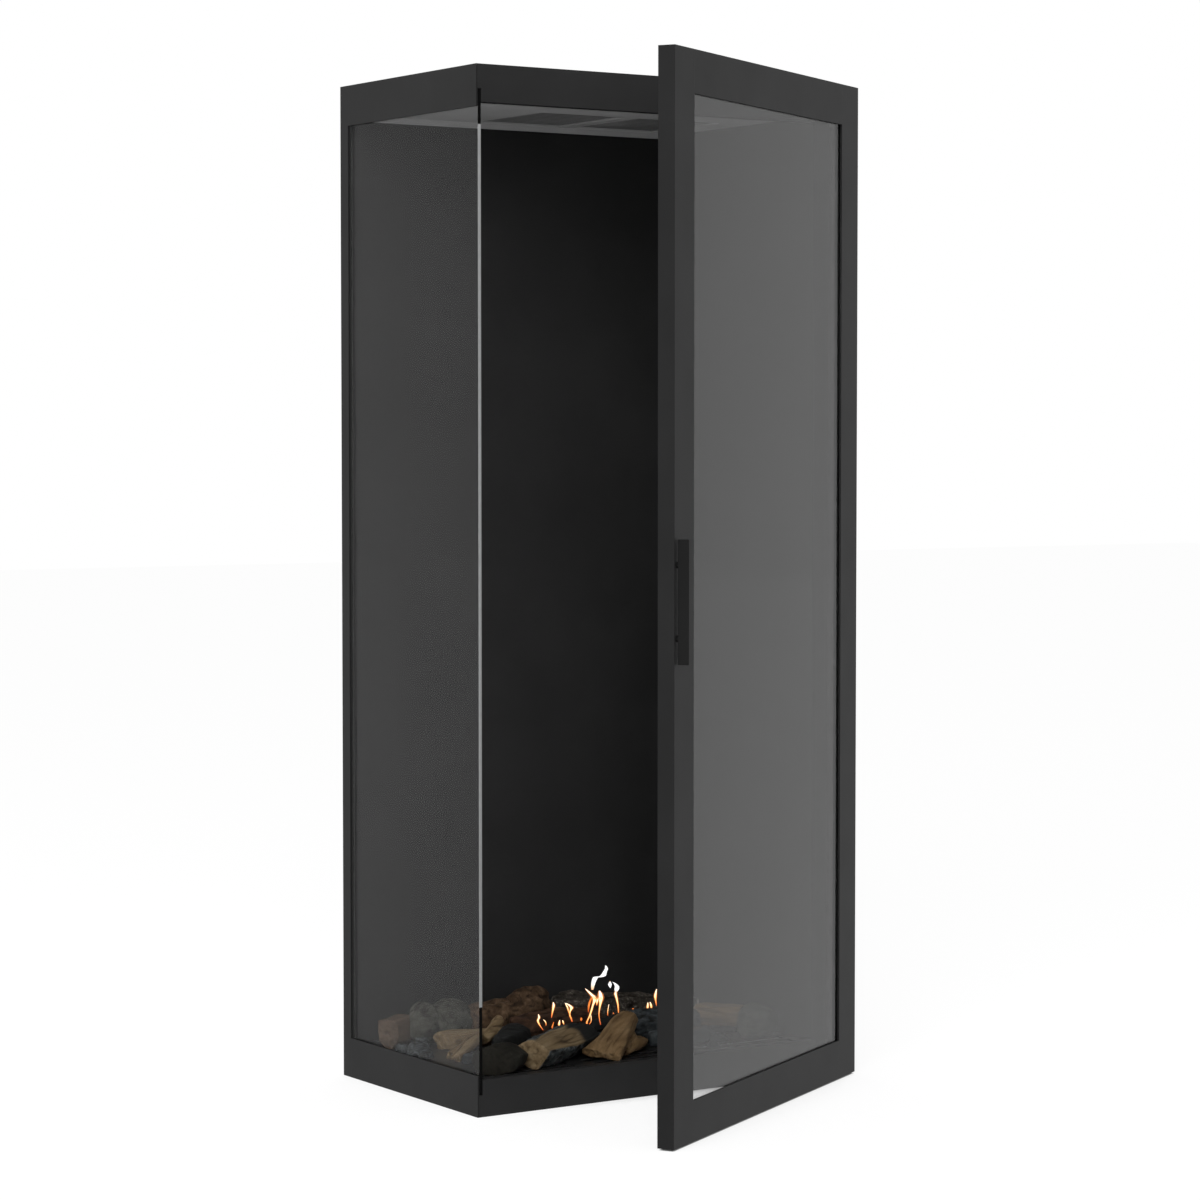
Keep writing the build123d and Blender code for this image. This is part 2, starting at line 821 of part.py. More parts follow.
log_rear_right = casting(
    log((364, 277, 40), (180, 30, 34), -2, 5.2, growth=-0.3),
    log((309, 276, 40), (62, 34, 48), 4, 4.9),
)
log_rear_left = casting(
    log((190, 266, 40), (92, 40, 48), -3, 6.1, [(90, 0.95)], taper=0.2),
    log((234, 266, 40), (58, 42, 64), 6, 2.9, [(90, 0.9)]),
)
log_middle = log((250, 228, 40), (122, 34, 34), -4, 5.2, seats=[log_rear_left])
log_side_block = log((44, 258, 40), (50, 40, 58), 25, 8.2, [(90, 0.62), (0, 0.7)], taper=0.05)
log_side_charred = log((112, 262, 40), (74, 46, 54), 8, 9.5, seats=[log_side_block, log_rear_left])
log_front_middle = log((156, 72, 40), (142, 54, 54), 30, 2.3, [(75, 0.62), (200, 0.8)], taper=0.15)
log_front_left = log(
    (61, 42, 40),
    (56, 40, 40),
    24,
    1.0,
    [(120, 0.85)],
    growth=-0.35,
    seats=[log_front_middle],
)
log_middle_right = log((340, 132, 40), (98, 42, 42), -14, 4.4)
log_front_right = casting(
    log(
        (232, 66, 40),
        (100, 24, 22),
        36,
        4.7,
        [(100, 0.8), (-30, 0.9)],
        tilt=18,
        taper=0,
        growth=-1.5,
        rises=(0.5, 0.9, 1, 1, 0.75),
        seats=[log_middle_right, log_front_middle],
    ),
    log((261, 72, 40), (70, 28, 20), 36, 15.8, [(90, 0.7)], seats=[log_middle_right]),
)
log_right_stub = log((332, 80, 40), (74, 24, 30), -12, 12.4, [(60, 0.6)], seats=[log_front_right])
log_right_split = log((446, 150, 40), (62, 40, 46), -62, 10.3, [(90, 0.6), (180, 0.7)], taper=0.1)
log_right_charred = log((446, 78, 40), (50, 40, 48), 20, 11.6)

log_forked = casting(
    log((114, 206, 40), (72, 28, 30), 4, 13.5, [(90, 0.5)], growth=-0.3, taper=0.1),
    log((142, 202, 44), (44, 16, 14), 30, 14.2, tilt=24, taper=0.1),
    log((150, 198, 46), (34, 12, 12), -24, 15.1, tilt=12, taper=0.1),
    log((149, 170, 40), (70, 34, 36), 34, 10.9, [(110, 0.7)], growth=0.2),
)

thin_branches = casting(
    log((84, 164, 40), (78, 11, 11), 30, 16.4, tilt=11, taper=0.1, seats=[log_forked]),
    log((76, 148, 40), (70, 12, 12), 38, 17.2, tilt=10, taper=0.1, seats=[log_forked]),
    log((414, 124, 40), (62, 10, 10), -52, 18.9, tilt=2, taper=0.1),
    log((300, 194, 40), (84, 16, 18), 4, 19.7, tilt=7, taper=0.1),
)


def chip(x, y, length, rise, turn, seed):
    """Chip that lies on the deck, narrower at its top."""
    outlines = []
    for along, share in ((0, 1), (1, chip_top_share)):
        plane = Plane(
            origin=(x + left, y + front, deck_height + rise * along),
            x_dir=(cos(radians(turn)), sin(radians(turn)), 0),
            z_dir=(0, 0, 1),
        )
        radii = (length * share / 2, length * share / 3)
        outlines.append(outline(plane, log_section(radii, seed, along, [])))
    with BuildPart() as body:
        loft(sections=outlines, ruled=True)
    return body.part


chip_places = [
    (40, 200, 34, 12), (58, 222, 30, 14), (28, 220, 24, 10), (104, 122, 26, 11), (30, 168, 26, 10),
    (60, 118, 26, 9), (132, 124, 18, 8), (210, 158, 28, 12), (222, 186, 24, 10), (262, 150, 26, 11),
    (302, 173, 24, 11), (368, 192, 24, 11), (392, 214, 26, 12), (382, 170, 24, 10), (420, 244, 24, 13),
    (386, 70, 22, 9), (356, 40, 20, 8), (396, 100, 22, 8),
]

with BuildPart() as ceramic_chips:
    for i, (x, y, length, rise) in enumerate(chip_places):
        add(chip(x, y, length, rise, 47 * i, 20 + 1.3 * i))

logs = {
    "log_front_left": log_front_left,
    "log_front_middle": log_front_middle,
    "log_front_right": log_front_right,
    "log_middle_right": log_middle_right,
    "log_middle": log_middle,
    "log_rear_left": log_rear_left,
    "log_rear_right": log_rear_right,
    "log_side_block": log_side_block,
    "log_side_charred": log_side_charred,
    "log_right_stub": log_right_stub,
    "log_right_split": log_right_split,
    "log_right_charred": log_right_charred,
    "log_forked": log_forked,
    "thin_branches": thin_branches,
    "ceramic_chips": ceramic_chips.part,
}

pieces = {
    "base_tray": base_tray.part,
    "top_tray": top_tray.part,
    "lower_left_trim": lower_left_trim.part,
    "upper_left_trim": upper_left_trim.part,
    "lower_front_trim": lower_front_trim.part,
    "upper_front_trim": upper_front_trim.part,
    "rear_left_post": rear_left_post.part,
    "front_right_post": front_right_post.part,
    "back_panel": back_panel.part,
    "right_side_panel": right_side_panel.part,
    "back_liner": back_liner.part,
    "right_liner": right_liner.part,
    "firebox_ceiling": firebox_ceiling.part,
    "ceiling_grilles": ceiling_grilles.part,
    "burner_deck": burner_deck.part,
    "burner_tray": burner_tray.part,
    "gas_injector": gas_injector.part,
    "gas_supply_pipe": gas_supply_pipe.part,
    "gas_inlet_fitting": gas_inlet_fitting.part,
    "pilot_burner": pilot_burner.part,
    "spark_electrode": spark_electrode.part,
    "thermocouple": thermocouple.part,
    "flue_collector": flue_collector.part,
    "flue_inner_collar": flue_inner_collar,
    "flue_outer_collar": flue_outer_collar,
    "side_glass": side_glass.part,
    "side_glass_rear_seal": side_glass_rear_seal.part,
    "side_glass_lower_seat": side_glass_lower_seat.part,
    "side_glass_upper_seat": side_glass_upper_seat.part,
    "catch_magnets": catch_magnets.part,
    "hinge_cabinet_leaves": hinge_cabinet_leaves.part,
    "hinge_pins": hinge_pins.part,
    "hinge_door_leaves": hinge_door_leaves.part,
    "door_stile_hinge": door_stile_hinge.part,
    "door_stile_free": door_stile_free.part,
    "door_rail_bottom": door_rail_bottom,
    "door_rail_top": door_rail_top,
    "door_glass": door_glass.part,
    "door_glass_seal": door_glass_seal.part,
    "door_glass_retainer": door_glass_retainer.part,
    "retainer_screws": retainer_screws.part,
    "door_gasket": door_gasket.part,
    "door_handle": door_handle.part,
    "handle_spacers": handle_spacers.part,
    "handle_screws": handle_screws.part,
}

for label, part in {**pieces, **logs}.items():
    save(part, label)
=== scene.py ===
import json
import math

import bmesh
import bpy
import numpy as np
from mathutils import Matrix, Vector, noise


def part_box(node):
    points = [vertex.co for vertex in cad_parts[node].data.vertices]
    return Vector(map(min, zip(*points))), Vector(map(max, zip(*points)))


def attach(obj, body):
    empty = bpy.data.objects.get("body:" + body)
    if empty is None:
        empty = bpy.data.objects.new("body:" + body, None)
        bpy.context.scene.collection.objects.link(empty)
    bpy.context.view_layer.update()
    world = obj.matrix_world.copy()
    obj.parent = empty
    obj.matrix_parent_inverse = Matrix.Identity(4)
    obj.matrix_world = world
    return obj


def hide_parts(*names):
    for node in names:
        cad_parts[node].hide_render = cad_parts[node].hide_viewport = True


# Corner fireplace: looks, light and camera. Metres, X right, Y into the depth, Z up.

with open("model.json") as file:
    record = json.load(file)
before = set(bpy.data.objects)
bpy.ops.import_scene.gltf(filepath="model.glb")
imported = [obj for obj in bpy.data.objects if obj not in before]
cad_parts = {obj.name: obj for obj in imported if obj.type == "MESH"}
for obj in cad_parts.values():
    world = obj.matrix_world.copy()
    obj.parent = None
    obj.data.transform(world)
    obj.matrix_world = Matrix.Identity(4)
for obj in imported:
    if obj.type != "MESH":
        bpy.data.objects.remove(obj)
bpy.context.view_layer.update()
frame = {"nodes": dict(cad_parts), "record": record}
nodes = frame["nodes"]
slot_of = {row["node"]: row["material_slot"] for row in frame["record"]["subparts"]}

# Cabinet's left and front faces, top of the burner deck
LEFT = -0.2595
FRONT = -0.158
DECK = 0.040


def from_corner(x, y, z):
    """Place given in millimetres from the cabinet's left front corner."""
    return Vector((LEFT + x / 1000, FRONT + y / 1000, z / 1000))


# Node tree helpers

def new_material(name):
    """Material with an empty node tree, its tree and its output node."""
    material = bpy.data.materials.new(name)
    material.use_nodes = True
    tree = material.node_tree
    tree.nodes.clear()
    return material, tree, tree.nodes.new("ShaderNodeOutputMaterial")


def add_node(tree, kind, **settings):
    """Node of a kind, with its properties and the default values of its sockets."""
    made = tree.nodes.new(kind)
    for key, value in settings.items():
        if key in made.inputs:
            made.inputs[key].default_value = value
        else:
            setattr(made, key, value)
    return made


def principled(tree, output, **settings):
    shader = tree.nodes.new("ShaderNodeBsdfPrincipled")
    for key, value in settings.items():
        shader.inputs[key].default_value = value
    tree.links.new(shader.outputs["BSDF"], output.inputs["Surface"])
    return shader


def ramp(tree, factor, stops):
    """Colour ramp over (position, colour) stops."""
    made = tree.nodes.new("ShaderNodeValToRGB")
    elements = made.color_ramp.elements
    while len(elements) < len(stops):
        elements.new(0.5)
    for element, (position, colour) in zip(elements, stops):
        element.position = position
        element.color = (*colour, 1)
    tree.links.new(factor, made.inputs["Fac"])
    return made.outputs["Color"]


def object_noise(tree, scale, detail=3.0, stretch=(1, 1, 1), turn=0.0, roughness=0.55):
    """Noise over object coordinates, stretched along an axis that is turned about the vertical."""
    place = tree.nodes.new("ShaderNodeTexCoord")
    mapping = tree.nodes.new("ShaderNodeMapping")
    mapping.vector_type = "TEXTURE"
    mapping.inputs["Rotation"].default_value = (0, 0, math.radians(turn))
    mapping.inputs["Scale"].default_value = stretch
    made = add_node(tree, "ShaderNodeTexNoise", Scale=scale, Detail=detail, Roughness=roughness)
    tree.links.new(place.outputs["Object"], mapping.inputs["Vector"])
    tree.links.new(mapping.outputs["Vector"], made.inputs["Vector"])
    return made.outputs["Fac"]


def bump(tree, height, strength, distance, normal=None):
    made = add_node(tree, "ShaderNodeBump", Strength=strength, Distance=distance)
    tree.links.new(height, made.inputs["Height"])
    if normal:
        tree.links.new(normal, made.inputs["Normal"])
    return made.outputs["Normal"]


def spread(tree, factor, low, high):
    """Factor from 0 to 1 mapped to a range."""
    made = tree.nodes.new("ShaderNodeMapRange")
    made.inputs["To Min"].default_value = low
    made.inputs["To Max"].default_value = high
    tree.links.new(factor, made.inputs["Value"])
    return made.outputs["Result"]


# Materials of the cabinet and the door

COAT_EDGE = 0.0007


def coat(name, dark, light, roughness, shine, unevenness=0.04):
    """Powder coat or paint: fine orange peel, slightly uneven tone, softly rounded edges."""
    material, tree, output = new_material(name)
    shader = principled(tree, output, **{"Specular IOR Level": shine})
    tone = object_noise(tree, 9, detail=4)
    tree.links.new(ramp(tree, tone, [(0.3, dark), (0.7, light)]), shader.inputs["Base Color"])
    smear = object_noise(tree, 22, detail=3)
    tree.links.new(spread(tree, smear, roughness - 0.04, roughness + 0.04), shader.inputs["Roughness"])
    soft = add_node(tree, "ShaderNodeBevel", Radius=COAT_EDGE, samples=4)
    peel = object_noise(tree, 500, detail=2)
    tree.links.new(bump(tree, peel, unevenness, 0.0003, soft.outputs["Normal"]), shader.inputs["Normal"])
    return material


def metal(name, dark, light, roughness, stretch=(1, 1, 30)):
    """Bare or plated sheet with faint rolling marks."""
    material, tree, output = new_material(name)
    shader = principled(tree, output, Metallic=1.0)
    tone = object_noise(tree, 25, detail=5, stretch=stretch)
    tree.links.new(ramp(tree, tone, [(0.35, dark), (0.65, light)]), shader.inputs["Base Color"])
    tree.links.new(spread(tree, tone, roughness - 0.08, roughness + 0.1), shader.inputs["Roughness"])
    marks = object_noise(tree, 300, detail=2, stretch=stretch)
    tree.links.new(bump(tree, marks, 0.08, 0.0004), shader.inputs["Normal"])
    return material


def woven(name, dark, light):
    """Woven tape: crossed threads with a dull surface."""
    material, tree, output = new_material(name)
    shader = principled(tree, output, Roughness=0.9)
    place = tree.nodes.new("ShaderNodeTexCoord")
    warp = add_node(tree, "ShaderNodeTexWave", Scale=320.0, Distortion=1.5, bands_direction="Z")
    weft = add_node(tree, "ShaderNodeTexWave", Scale=320.0, Distortion=1.5, bands_direction="DIAGONAL")
    for wave in (warp, weft):
        tree.links.new(place.outputs["Object"], wave.inputs["Vector"])
    crossing = add_node(tree, "ShaderNodeMath", operation="MULTIPLY")
    tree.links.new(warp.outputs["Fac"], crossing.inputs[0])
    tree.links.new(weft.outputs["Fac"], crossing.inputs[1])
    threads = crossing.outputs["Value"]
    tree.links.new(ramp(tree, threads, [(0.1, dark), (0.8, light)]), shader.inputs["Base Color"])
    tree.links.new(bump(tree, threads, 0.4, 0.0004), shader.inputs["Normal"])
    return material


def clear_glass(name, tint, index):
    """Float glass that lets lamp light straight through."""
    material, tree, output = new_material(name)
    glass = principled(tree, output, **{"Base Color": (*tint, 1), "Transmission Weight": 1.0})
    glass.inputs["Roughness"].default_value = 0.0
    glass.inputs["IOR"].default_value = index
    path = tree.nodes.new("ShaderNodeLightPath")
    through = add_node(tree, "ShaderNodeBsdfTransparent", Color=(*tint, 1))
    mixed = tree.nodes.new("ShaderNodeMixShader")
    tree.links.new(path.outputs["Is Shadow Ray"], mixed.inputs["Fac"])
    tree.links.new(glass.outputs["BSDF"], mixed.inputs[1])
    tree.links.new(through.outputs["BSDF"], mixed.inputs[2])
    tree.links.new(mixed.outputs["Shader"], output.inputs["Surface"])
    return material


def ground_edge(name):
    """Ground glass edge: pale, dull, with fine grinding marks."""
    material, tree, output = new_material(name)
    shader = principled(tree, output, Roughness=0.55)
    marks = object_noise(tree, 900, detail=2, stretch=(1, 1, 6))
    stops = [(0.3, (0.21, 0.215, 0.215)), (0.7, (0.26, 0.265, 0.265))]
    tree.links.new(ramp(tree, marks, stops), shader.inputs["Base Color"])
    tree.links.new(bump(tree, marks, 0.15, 0.0002), shader.inputs["Normal"])
    return material


def glazed(name):
    material, tree, output = new_material(name)
    shader = principled(tree, output, Roughness=0.15)
    tone = object_noise(tree, 60)
    stops = [(0.3, (0.16, 0.15, 0.13)), (0.7, (0.26, 0.245, 0.22))]
    tree.links.new(ramp(tree, tone, stops), shader.inputs["Base Color"])
    return material


materials = {
    "black_coat": coat("powder_coat", (0.013, 0.013, 0.0131), (0.0165, 0.0165, 0.0166), 0.42, 0.075),
    "handle_coat": coat("handle_coat", (0.007, 0.007, 0.007), (0.009, 0.009, 0.009), 0.4, 0.08),
    "lining_coat": coat("lining_paint", (0.010, 0.010, 0.010), (0.014, 0.014, 0.014), 0.55, 0.16, 0.03),
    "plated_steel": metal("zinc_sheet", (0.44, 0.45, 0.46), (0.58, 0.59, 0.6), 0.42),
    "stainless": metal("stainless_steel", (0.46, 0.46, 0.45), (0.6, 0.6, 0.59), 0.3),
    "black_screws": coat("black_oxide", (0.01, 0.01, 0.01), (0.016, 0.016, 0.016), 0.4, 0.4),
    "brass": metal("brass", (0.55, 0.38, 0.14), (0.72, 0.52, 0.22), 0.28, (1, 1, 1)),
    "glazed_ceramic": glazed("glazed_ceramic"),
    "clear_glass": clear_glass("door_glass", (0.6, 0.6, 0.6), 1.25),
    "seal_fibre": woven("woven_seal", (0.006, 0.006, 0.006), (0.03, 0.03, 0.03)),
}

# The front trims have the black powder coat painted lighter: painted light on faces the open door shades
# from the lamp
front_coat_painted_light = coat("front_trim_painted_light", (0.017, 0.017, 0.0171), (0.021, 0.021, 0.0211), 0.42, 0.095)
finishes = {
    "upper_front_trim": front_coat_painted_light,
    "lower_front_trim": front_coat_painted_light,
    "firebox_ceiling": coat("ceiling_paint", (0.29, 0.29, 0.29), (0.34, 0.34, 0.34), 0.5, 0.3),
    "burner_deck": coat("deck_paint", (0.010, 0.010, 0.010), (0.014, 0.014, 0.014), 0.3, 0.16, 0.03),
    "ceiling_grilles": coat("grille_paint", (0.13, 0.13, 0.13), (0.16, 0.16, 0.16), 0.5, 0.3),
}

for name, node in nodes.items():
    finish = finishes.get(name) or materials.get(slot_of[name])
    if finish:
        for slot in node.material_slots:
            slot.material = finish


# Side pane: its front edge is bare between two heights and taped elsewhere

EDGE_SHOWN = (0.127, 1.132)
EDGE_BEVEL = 0.0004
GLASS_FACE, GROUND_FACE, TAPED_FACE = range(3)


def side_pane():
    low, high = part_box("side_glass")
    mesh = bpy.data.meshes.new("side_pane")
    form = bmesh.new()
    bmesh.ops.create_cube(form, size=1)
    bmesh.ops.scale(form, vec=high - low, verts=form.verts)
    bmesh.ops.translate(form, vec=(low + high) / 2, verts=form.verts)
    bmesh.ops.bevel(form, geom=form.edges[:], offset=EDGE_BEVEL, segments=2, affect="EDGES", profile=0.5)
    for height in EDGE_SHOWN:
        cut = form.verts[:] + form.edges[:] + form.faces[:]
        bmesh.ops.bisect_plane(form, geom=cut, plane_co=(0, 0, height), plane_no=(0, 0, 1))
    form.normal_update()
    lowest, highest = EDGE_SHOWN
    for face in form.faces:
        if abs(face.normal.x) > 0.99:
            face.material_index = GLASS_FACE
        elif face.normal.y < -0.1 and lowest < face.calc_center_median().z < highest:
            face.material_index = GROUND_FACE
        else:
            face.material_index = TAPED_FACE
    form.to_mesh(mesh)
    form.free()
    pane = bpy.data.objects.new("side_pane", mesh)
    bpy.context.scene.collection.objects.link(pane)
    mesh.materials.append(clear_glass("side_pane_glass", (0.9, 0.9, 0.9), 1.13))
    mesh.materials.append(ground_edge("ground_glass_edge"))
    mesh.materials.append(coat("edge_tape", (0.002, 0.002, 0.002), (0.003, 0.003, 0.003), 0.8, 0.05))
    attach(pane, "cabinet")
    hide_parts("side_glass")


side_pane()


# Ceramic logs and chips

def step_between(value, low, high):
    """Smooth step from 0 to 1."""
    share = min(max((value - low) / (high - low), 0), 1)
    return share * share * (3 - 2 * share)


def cells(point, edge):
    """1 in the cracks between random cells, 0 inside them."""
    distances = noise.voronoi(point)[0]
    return 1 - step_between(distances[1] - distances[0], 0.02, edge)


def grain(a, b, c, along, across):
    """Noise from about -0.8 to 0.8, with its own scale along the log's grain and across it."""
    return noise.noise(Vector((a * along, b * across, c * across)))


def crests(a, b, c, along, across, fall, octaves):
    """Ridged noise from 0 to about 2, whose fine ridges are fainter by the fall."""
    place = Vector((a * along, b * across, c * across))
    return noise.ridged_multi_fractal(place, fall, 2.1, octaves, 1.0, 2.0)


def split_face(a, b, c):
    """Height of split wood and painted shade in its grooves and along torn steps: long fibres and torn
    steps over slow waves.
    """
    fibres = grain(a, b, c, 16, 300)
    steps = grain(a, b, c, 10, 85)
    waves = grain(a, b, c, 30, 42)
    torn = step_between(steps, 0.08, 0.16)
    tears = 1 - step_between(abs(steps - 0.12), 0.01, 0.05)
    groove_shade = 0.4 * step_between(-fibres, 0.1, 0.5) + 0.35 * tears
    return 0.0003 * fibres + 0.0009 * torn + 0.0024 * waves, groove_shade


def end_face(a, b, c):
    """Height of a broken end and painted shade in its pits: short pitted fibres."""
    pits = grain(a, b, c, 240, 270)
    lumps = grain(a, b, c, 60, 60)
    return 0.0013 * pits + 0.0026 * lumps, 0.55 * step_between(-pits, 0.05, 0.45)


def charred_face(a, b, c):
    """Height of charred wood and painted shade in its cracks and hollows: rough scales whose crests stay
    paler.
    """
    bent = 0.35 * grain(a, b, c, 40, 60)
    crack = cells(Vector((a * 75 + bent, b * 120, c * 120 - bent)), 0.3)
    lumps = grain(a, b, c, 32, 45)
    ridges = crests(a, b, c, 60, 110, 0.9, 4)
    hollows = step_between(-ridges, -1.1, -0.5)
    return 0.0024 * lumps + 0.0007 * ridges - 0.0007 * crack, 0.4 * crack + 0.7 * hollows


def layered_face(a, b, c):
    """Height of thick lumpy bark that flakes off in layers with torn edges, with painted shade along the
    torn edges and in the hollows of its grain.
    """
    bent = grain(a, b, c, 110, 140)
    lumps = grain(a, b, c, 40, 40)
    layers = 2.6 * grain(a, b, c, 30, 45) + 0.9 * bent
    share = layers - math.floor(layers)
    grains = crests(a, b, c, 80, 120, 0.8, 5)
    step = math.floor(layers) + step_between(share, 0.0, 0.22)
    edge = (1 - step_between(abs(share - 0.1), 0.02, 0.16)) * step_between(lumps, -0.25, 0.25)
    height = 0.0030 * lumps + 0.0010 * step + 0.0009 * grains
    return height, 0.6 * edge + 0.7 * step_between(-grains, -1.2, -0.6)


def furrowed_face(a, b, c):
    """Height of long furrowed bark with rough crests, and painted shade in its cracks and hollows."""
    bent = 0.3 * grain(a, b, c, 40, 60)
    crack = cells(Vector((a * 26 + bent, b * 90, c * 90)), 0.3)
    lumps = grain(a, b, c, 22, 45)
    ridges = crests(a, b, c, 60, 120, 0.9, 4)
    hollows = step_between(-ridges, -1.1, -0.5)
    return 0.0018 * lumps + 0.0007 * ridges - 0.0012 * crack, 0.5 * crack + 0.6 * hollows


def sooty_face(a, b, c):
    """Height of a smooth sooty skin with fine fibres, and painted shade in the hollows between the fibres.
    """
    lumps = grain(a, b, c, 28, 36)
    fibres = grain(a, b, c, 35, 260)
    ridges = crests(a, b, c, 45, 70, 1.0, 3)
    return 0.0018 * lumps + 0.0003 * fibres + 0.0003 * ridges, 0.6 * step_between(-fibres, 0.0, 0.5)


# Colours of skins and wood, from the darkest patches to the palest
TAN = [(0.3, (0.069, 0.046, 0.024)), (0.5, (0.115, 0.081, 0.044)), (0.72, (0.160, 0.119, 0.070))]
WARM_TAN = [(0.3, (0.072, 0.043, 0.019)), (0.5, (0.118, 0.075, 0.036)), (0.72, (0.160, 0.108, 0.058))]
# The tan wood painted about half as dark, for the side block: painted shade
TAN_PAINTED_SHADE = [(0.3, (0.038, 0.026, 0.017)), (0.5, (0.058, 0.040, 0.027)), (0.72, (0.078, 0.057, 0.040))]
# The blue-grey bark painted about twice as light, for the front middle log: painted light on its shaded
# front bark
BLUE_GREY_PAINTED_LIGHT = [(0.35, (0.022, 0.026, 0.028)), (0.52, (0.052, 0.059, 0.060)), (0.68, (0.125, 0.131, 0.127))]
BLUE_GREY = [(0.3, (0.010, 0.0125, 0.0145)), (0.52, (0.026, 0.030, 0.032)), (0.75, (0.062, 0.069, 0.071))]
GREY_GREEN = [(0.3, (0.025, 0.025, 0.020)), (0.55, (0.052, 0.052, 0.043)), (0.8, (0.090, 0.093, 0.081))]
DARK_OLIVE = [(0.3, (0.006, 0.0055, 0.004)), (0.55, (0.011, 0.010, 0.0075)), (0.75, (0.028, 0.028, 0.022))]
RED_BROWN = [(0.3, (0.017, 0.009, 0.005)), (0.5, (0.042, 0.025, 0.0135)), (0.7, (0.092, 0.058, 0.034))]
DARK_BROWN = [(0.3, (0.016, 0.009, 0.006)), (0.55, (0.040, 0.021, 0.012)), (0.8, (0.080, 0.046, 0.026))]
DARK_GREY = [(0.3, (0.012, 0.011, 0.009)), (0.55, (0.040, 0.034, 0.028)), (0.72, (0.15, 0.14, 0.12))]
# Colour multiplied into grooves, pits, cracks and hollows: painted shade
PAINTED_GROOVE_SHADE = (0.2, 0.17, 0.15)
SOOT = (0.0095, 0.0098, 0.0095)

# Each log's looks: turn and tilt of its grain in degrees, skin and its colours, scale of their patches.
# bare: all split wood, in the colours of wood.
# cuts: cut faces as (along, across, up, share kept of the reach that way).
# burn: burnt part beyond an upright plane at (x, depth, turn), in millimetres and degrees.
# joins: balls (x, depth, z, radius) in millimetres that fill the hollows between its forms.
# voxel and rounds: fineness of its mesh and how far its edges are eased.
LOGS = {
    "log_front_left": dict(turn=24, skin=sooty_face, colours=DARK_OLIVE),
    "log_front_middle": dict(
        turn=30, skin=charred_face, colours=BLUE_GREY_PAINTED_LIGHT, patches=150,
        cuts=[(0, -0.45, 0.89, 0.6), (-0.97, -0.1, 0.15, 0.86)], burn=(182, 80, 12),
    ),
    "log_front_right": dict(
        turn=36, tilt=18, bare=True, wood=WARM_TAN,
        joins=[(257, 78, 53, 12), (238, 62, 50, 12), (267, 84, 49, 9)],
    ),
    "log_middle_right": dict(turn=-14, skin=charred_face, colours=BLUE_GREY, patches=110),
    "log_middle": dict(turn=-4, skin=furrowed_face, colours=DARK_BROWN),
    "log_rear_left": dict(turn=-3, skin=layered_face, colours=RED_BROWN, patches=90),
    "log_rear_right": dict(turn=-2, skin=furrowed_face, colours=DARK_GREY, patches=260),
    "log_side_block": dict(
        turn=25, bare=True, wood=TAN_PAINTED_SHADE, rounds=1,
        cuts=[(-1, 0, 0, 0.78), (1, 0, 0, 0.5), (0, -1, 0, 0.7), (0, 0, 1, 0.8)],
    ),
    "log_side_charred": dict(
        turn=8, skin=charred_face, colours=GREY_GREEN, joins=[(72, 248, 62, 20), (80, 256, 72, 18)],
    ),
    "log_right_stub": dict(
        turn=-12, skin=sooty_face, colours=BLUE_GREY, wood=DARK_BROWN, cuts=[(0, -0.3, 1, 0.8)],
    ),
    "log_right_split": dict(
        turn=-62, bare=True, wood=WARM_TAN, rounds=3, cuts=[(0, 0, 1, 0.85), (0, 1, 0, 0.85)],
    ),
    "log_right_charred": dict(turn=20, skin=sooty_face, colours=GREY_GREEN),
    "log_forked": dict(turn=4, bare=True, burn=(140, 188, -60), voxel=0.0009, rounds=4),
    "thin_branches": dict(turn=34, tilt=11, bare=True, burn=(240, 190, 0), voxel=0.0009, rounds=4),
    "ceramic_chips": dict(
        turn=20, skin=charred_face, colours=BLUE_GREY, patches=110, voxel=0.0009, rounds=4,
    ),
}


def mix_colours(tree, factor, first, second, blend="MIX"):
    """Two colours mixed by a factor; the second may be a plain colour."""
    made = tree.nodes.new("ShaderNodeMix")
    made.data_type = "RGBA"
    made.blend_type = blend
    tree.links.new(factor, made.inputs["Factor"])
    tree.links.new(first, made.inputs["A"])
    if isinstance(second, tuple):
        made.inputs["B"].default_value = (*second, 1)
    else:
        tree.links.new(second, made.inputs["B"])
    return made.outputs["Result"]


def log_material(name, skin, wood, turn, patch_scale):
    """Ceramic log: skin, pale wood on its split faces, soot where it is burnt, painted shade in its
    grooves, pits and hollows.
    """
    material, tree, output = new_material(name)
    shader = principled(tree, output, Roughness=0.88, **{"Specular IOR Level": 0.2})
    shares = {
        label: add_node(tree, "ShaderNodeAttribute", attribute_name=label).outputs["Fac"]
        for label in ("split", "groove_shade", "burnt")
    }
    patches = object_noise(tree, patch_scale, detail=6, roughness=0.65)
    fibres = object_noise(tree, 130, detail=5, stretch=(9, 1, 1), turn=turn)
    colour = mix_colours(tree, shares["split"], ramp(tree, patches, skin), ramp(tree, fibres, wood))
    # Grooves, pits, cracks and hollows darkened: painted shade
    colour = mix_colours(tree, shares["groove_shade"], colour, PAINTED_GROOVE_SHADE, "MULTIPLY")
    colour = mix_colours(tree, shares["burnt"], colour, SOOT)
    tree.links.new(colour, shader.inputs["Base Color"])
    pores = object_noise(tree, 700, detail=4)
    tree.links.new(bump(tree, pores, 0.35, 0.0006), shader.inputs["Normal"])
    return material


